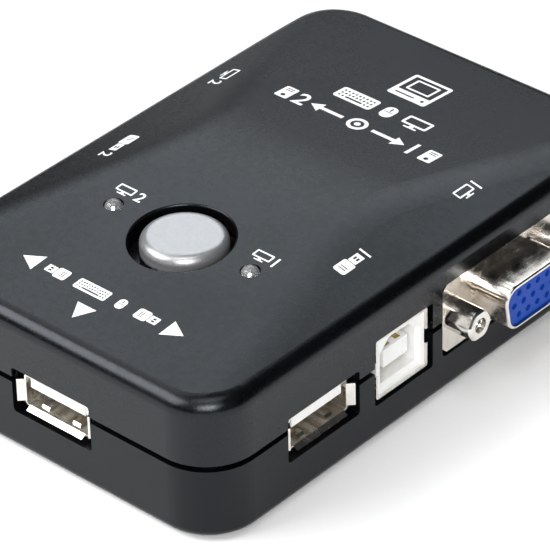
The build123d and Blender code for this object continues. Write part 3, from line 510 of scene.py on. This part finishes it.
def digit(text, x, y, height, bold=0.02):
    """A digit of the given cap height with its lower left corner at x, y."""
    mesh = flat_curve(text=text, size=height / 0.70, bold=bold)
    xs = [v.co.x for v in mesh.vertices]
    ys = [v.co.y for v in mesh.vertices]
    k = height / (max(ys) - min(ys))
    w = (max(xs) - min(xs)) * k
    x0, y0 = min(xs), min(ys)
    for v in mesh.vertices:
        v.co.x = (v.co.x - x0) * k + x
        v.co.y = (v.co.y - y0) * k + y
    return mesh, w


# ---------------------------------------------------------------- prints on the lid
place_print("print_monitor_symbol", [flat_curve(big_screen())])
place_print("print_keyboard_video_mouse", [flat_curve(c) for c in (
    moved(keyboard(7.6, 3.5), -9.3, 24.3), moved(mouse(2.3, 3.6), -0.1, 24.3), moved(screen(4.9, 3.6), 4.2, 24.3))])
line2 = [flat_curve(c) for c in (
    moved(tower(2.5, 3.6), -16.0, 17.9), arrow(-9.6, -3.0, 19.7, 0.75, 2.6, 2.1), [disc(0, 19.7, 1.8), disc(0, 19.7, 1.15), disc(0, 19.7, 0.55)],
    arrow(9.6, 3.0, 19.7, 0.75, 2.6, 2.1), moved(tower(2.5, 3.6), 13.5, 17.9))]
line2.append(digit("2", -12.6, 17.9, 3.6, 0.06)[0])
line2.append(digit("1", 11.0, 17.9, 3.6, 0.06)[0])
place_print("print_switch_between_computers", line2)
place_print("print_console_symbols", [flat_curve(c) for c in (
    moved(plug(4.3, 2.3), -7.2, -39.7, flip=True), moved(keyboard(6.4, 2.3), -5.3, -39.7),
    moved(mouse(1.55, 2.3), 3.0, -39.7), moved(plug(4.3, 2.3), 6.9, -39.7))])
place_print("print_console_arrows", [flat_curve(c) for c in (
    [[(-16.4, -38.65), (-13.1, -40.5), (-13.1, -36.8)]], [[(16.4, -38.65), (13.1, -36.8), (13.1, -40.5)]],
    [[(-1.9, -41.9), (0.0, -45.2), (1.9, -41.9)]])])


def numbered(name, shape, w, text, height, at, turn):
    mesh, dw = digit(text, 0, 0, height, 0.03)
    total = w + 0.75 + dw
    for v in mesh.vertices:
        v.co.x += total / 2 - dw
        v.co.y -= height / 2
    place_print(name, [flat_curve(moved(shape, -total / 2, -height / 2)), mesh], at, turn)


numbered("print_led_2", screen(3.4, 2.2), 3.4, "2", 2.2, (-13.8, -17.7), 0)
numbered("print_led_1", screen(3.4, 2.2), 3.4, "1", 2.2, (13.8, -17.7), 0)
numbered("print_port_left_front", plug(5.4, 2.2), 5.4, "2", 2.2, (-25.2, -8.2), math.radians(-90))
numbered("print_port_left_rear", screen(3.6, 2.2), 3.6, "2", 2.2, (-26.7, 18.0), math.radians(-90))
numbered("print_port_right_front", plug(5.4, 2.2), 5.4, "1", 2.2, (24.0, -9.7), math.radians(90))
numbered("print_port_right_rear", screen(3.6, 2.2), 3.6, "1", 2.2, (24.8, 16.6), math.radians(90))


# ---------------------------------------------------------------- threads in the jackscrews
def thread(name, centre, axis, r_major, r_minor, pitch, length):
    """A female thread as one closed helical ridge, run out at both ends. It starts at centre and runs along axis."""
    axis = Vector(axis).normalized()
    u = axis.orthogonal().normalized()
    w = axis.cross(u)
    bm = bmesh.new()
    steps = 24
    turns = length / pitch
    total = int(turns * steps)
    rings = []
    for i in range(total + 1):
        a = 2 * math.pi * i / steps
        t = min(1.0, i / 10, (total - i) / 10)
        crest = r_major + 0.05 - (r_major + 0.05 - r_minor) * max(t, 0.02)
        d = u * math.cos(a) + w * math.sin(a)
        z = i / steps * pitch
        half = pitch * 0.44
        section = ((r_major + 0.05, z - half), (crest, z - 0.06 * pitch), (crest, z + 0.06 * pitch), (r_major + 0.05, z + half))
        rings.append([bm.verts.new((Vector(centre) + d * r + axis * zz) * MM) for r, zz in section])
    for a, b in zip(rings, rings[1:]):
        for k in range(4):
            bm.faces.new((a[k], a[(k + 1) % 4], b[(k + 1) % 4], b[k]))
    bm.faces.new(rings[0])
    bm.faces.new(rings[-1])
    bmesh.ops.recalc_face_normals(bm, faces=bm.faces[:])
    mesh = bpy.data.meshes.new(name)
    bm.to_mesh(mesh)
    bm.free()
    return new_piece(name, mesh, mat_hex, "case", angle=50)


JS_HALF = 12.495
for side in ("right", "left", "monitor"):
    lo, hi = (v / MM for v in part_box(f"vga_{side}_jackscrews"))
    mid = (lo + hi) / 2
    for k, off in (("a", -JS_HALF), ("b", JS_HALF)):
        if side == "monitor":
            start, axis = (mid.x + off, hi.y - 0.55, mid.z), (0, -1, 0)
        else:
            x = hi.x - 0.55 if side == "right" else lo.x + 0.55
            start, axis = (x, mid.y + off, mid.z), ((-1, 0, 0) if side == "right" else (1, 0, 0))
        thread(f"vga_{side}_thread_{k}", start, axis, 1.3, 1.12, 0.635, 3.6)


# ---------------------------------------------------------------- the switch's return spring, as a wire coil in place of the model's spring
def coil(name, node, wire, turns):
    lo, hi = (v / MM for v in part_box(node))
    mid = (lo + hi) / 2
    radius = (hi.x - lo.x) / 2 - wire
    z0, z1 = lo.z + wire, hi.z - wire
    bm = bmesh.new()
    steps, sides, rings = 40, 10, []
    total = int(turns * steps)
    for i in range(total + 1):
        a = 2 * math.pi * i / steps
        t = i / total
        out = Vector((math.cos(a), math.sin(a), 0))
        c = Vector((mid.x, mid.y, z0 + (z1 - z0) * t)) + out * radius
        ring = []
        for k in range(sides):
            b = 2 * math.pi * k / sides
            ring.append(bm.verts.new((c + out * wire * math.cos(b) + Vector((0, 0, wire * math.sin(b)))) * MM))
        rings.append(ring)
    for p, q in zip(rings, rings[1:]):
        for k in range(sides):
            bm.faces.new((p[k], p[(k + 1) % sides], q[(k + 1) % sides], q[k]))
    bm.faces.new(rings[0])
    bm.faces.new(rings[-1])
    bmesh.ops.recalc_face_normals(bm, faces=bm.faces[:])
    mesh = bpy.data.meshes.new(name)
    bm.to_mesh(mesh)
    bm.free()
    ob = new_piece(name, mesh, mat_spring, "case", angle=60)
    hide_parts(node)
    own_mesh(ob)
    return ob


coil("switch_return_spring", "switch_spring", 0.2, 3)


# ---------------------------------------------------------------- inside the clear LEDs
def lathe(name, profile, centre, material, n=40, angle=30):
    """A closed turned shape about a vertical line through centre: profile is (radius, height) pairs in mm."""
    bm = bmesh.new()
    rings = []
    for r, z in profile:
        if r < 1e-6:
            rings.append([bm.verts.new(Vector((centre[0], centre[1], z)) * MM)])
        else:
            rings.append([bm.verts.new(Vector((centre[0] + r * math.cos(2 * math.pi * i / n), centre[1] + r * math.sin(2 * math.pi * i / n), z)) * MM) for i in range(n)])
    for a, b in zip(rings, rings[1:]):
        for i in range(n):
            j = (i + 1) % n
            if len(a) == 1:
                bm.faces.new((a[0], b[j], b[i]))
            elif len(b) == 1:
                bm.faces.new((a[i], a[j], b[0]))
            else:
                bm.faces.new((a[i], a[j], b[j], b[i]))
    bmesh.ops.recalc_face_normals(bm, faces=bm.faces[:])
    mesh = bpy.data.meshes.new(name)
    bm.to_mesh(mesh)
    bm.free()
    return new_piece(name, mesh, material, "case", angle=angle)


def solid_poly(name, pts, thick, origin, along, up, material):
    """A flat plate from an outline in the along/up plane, in mm, thickened about that plane."""
    along, up = Vector(along), Vector(up)
    nrm = along.cross(up)
    bm = bmesh.new()
    rows = []
    for s in (-0.5, 0.5):
        rows.append([bm.verts.new((Vector(origin) + along * x + up * y + nrm * thick * s) * MM) for x, y in pts])
    bm.faces.new(rows[0][::-1])
    bm.faces.new(rows[1])
    for i in range(len(pts)):
        j = (i + 1) % len(pts)
        bm.faces.new((rows[0][i], rows[0][j], rows[1][j], rows[1][i]))
    bmesh.ops.recalc_face_normals(bm, faces=bm.faces[:])
    mesh = bpy.data.meshes.new(name)
    bm.to_mesh(mesh)
    bm.free()
    return new_piece(name, mesh, material, "case", smooth=False)


for number in (1, 2):
    lo, hi = (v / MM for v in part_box(f"led_computer_{number}"))
    cx, cy, top = (lo.x + hi.x) / 2, (lo.y + hi.y) / 2, hi.z
    # anvil post with the reflector cup that holds the die, and the shorter bond post
    lathe(f"led_{number}_reflector_cup", [(0.0, top - 2.75), (0.62, top - 2.75), (0.80, top - 1.95), (0.74, top - 1.93), (0.46, top - 2.40), (0.0, top - 2.40)],
          (cx - 0.12, cy), mat_steel, 28)
    solid_poly(f"led_{number}_anvil", [(-0.95, -4.6), (0.35, -4.6), (0.35, -2.74), (-0.95, -2.74)], 0.42,
               (cx - 0.1, cy, top), (1, 0, 0), (0, 0, 1), mat_steel)
    solid_poly(f"led_{number}_post", [(0.55, -4.6), (1.02, -4.6), (1.02, -2.2), (0.78, -2.05), (0.55, -2.6)], 0.42,
               (cx - 0.02, cy, top), (1, 0, 0), (0, 0, 1), mat_steel)
    lathe(f"led_{number}_die", [(0.0, top - 2.41), (0.17, top - 2.41), (0.17, top - 2.27), (0.0, top - 2.27)],
          (cx - 0.12, cy), mat_ceramic, 4, 20)

# ---------------------------------------------------------------- floor and light
floor_mat = Mat("floor_paper", (0.93, 0.93, 0.93), 0.85, specular=0.2)
floor_mat.tint(floor_mat.ramp(floor_mat.noise(6, 2), 0.3, 0.7, 0, 0.5), (0.91, 0.91, 0.915))
floor_mat.bump(floor_mat.noise(900, 2), 0.03, 0.0001)
bm = bmesh.new()
bmesh.ops.create_grid(bm, x_segments=8, y_segments=8, size=2.5)
mesh = bpy.data.meshes.new("floor")
bm.to_mesh(mesh)
bm.free()
floor = bpy.data.objects.new("floor", mesh)
floor.data.materials.append(floor_mat.m)
scene.collection.objects.link(floor)


def softbox(name, direction, distance, width, height, watts, colour=(1, 1, 1), aim=(0, 0, 0.014)):
    data = bpy.data.lights.new(name, "AREA")
    data.shape = "RECTANGLE"
    data.size, data.size_y = width, height
    data.energy = watts
    data.color = colour
    ob = bpy.data.objects.new(name, data)
    d = Vector(direction).normalized()
    ob.location = Vector(aim) + d * distance
    ob.rotation_mode = "QUATERNION"
    ob.rotation_quaternion = d.to_track_quat("Z", "Y")
    scene.collection.objects.link(ob)
    return ob


softbox("softbox_front_left", (-0.50, -0.56, 0.66), 1.0, 0.8, 0.6, 10.6)
softbox("softbox_back_left", (-0.41, 0.63, 0.66), 1.2, 1.0, 0.6, 4.2, (0.93, 0.97, 1.0))
softbox("softbox_back_low", (-0.68, 0.70, 0.20), 1.2, 0.4, 0.3, 0.26, (0.93, 0.97, 1.0))
softbox("softbox_left_high", (-0.55, 0.10, 0.83), 1.1, 0.4, 0.4, 0.9)
softbox("softbox_camera_side", (0.56, -0.62, 0.55), 1.1, 0.5, 0.5, 10.5)
softbox("softbox_overhead", (0.15, -0.20, 0.97), 1.2, 0.6, 0.6, 3.6)
world = bpy.data.worlds.new("studio")
scene.world = world
world.use_nodes = True
world.node_tree.nodes["Background"].inputs[0].default_value = (0.92, 0.96, 1.0, 1)
world.node_tree.nodes["Background"].inputs[1].default_value = 0.03
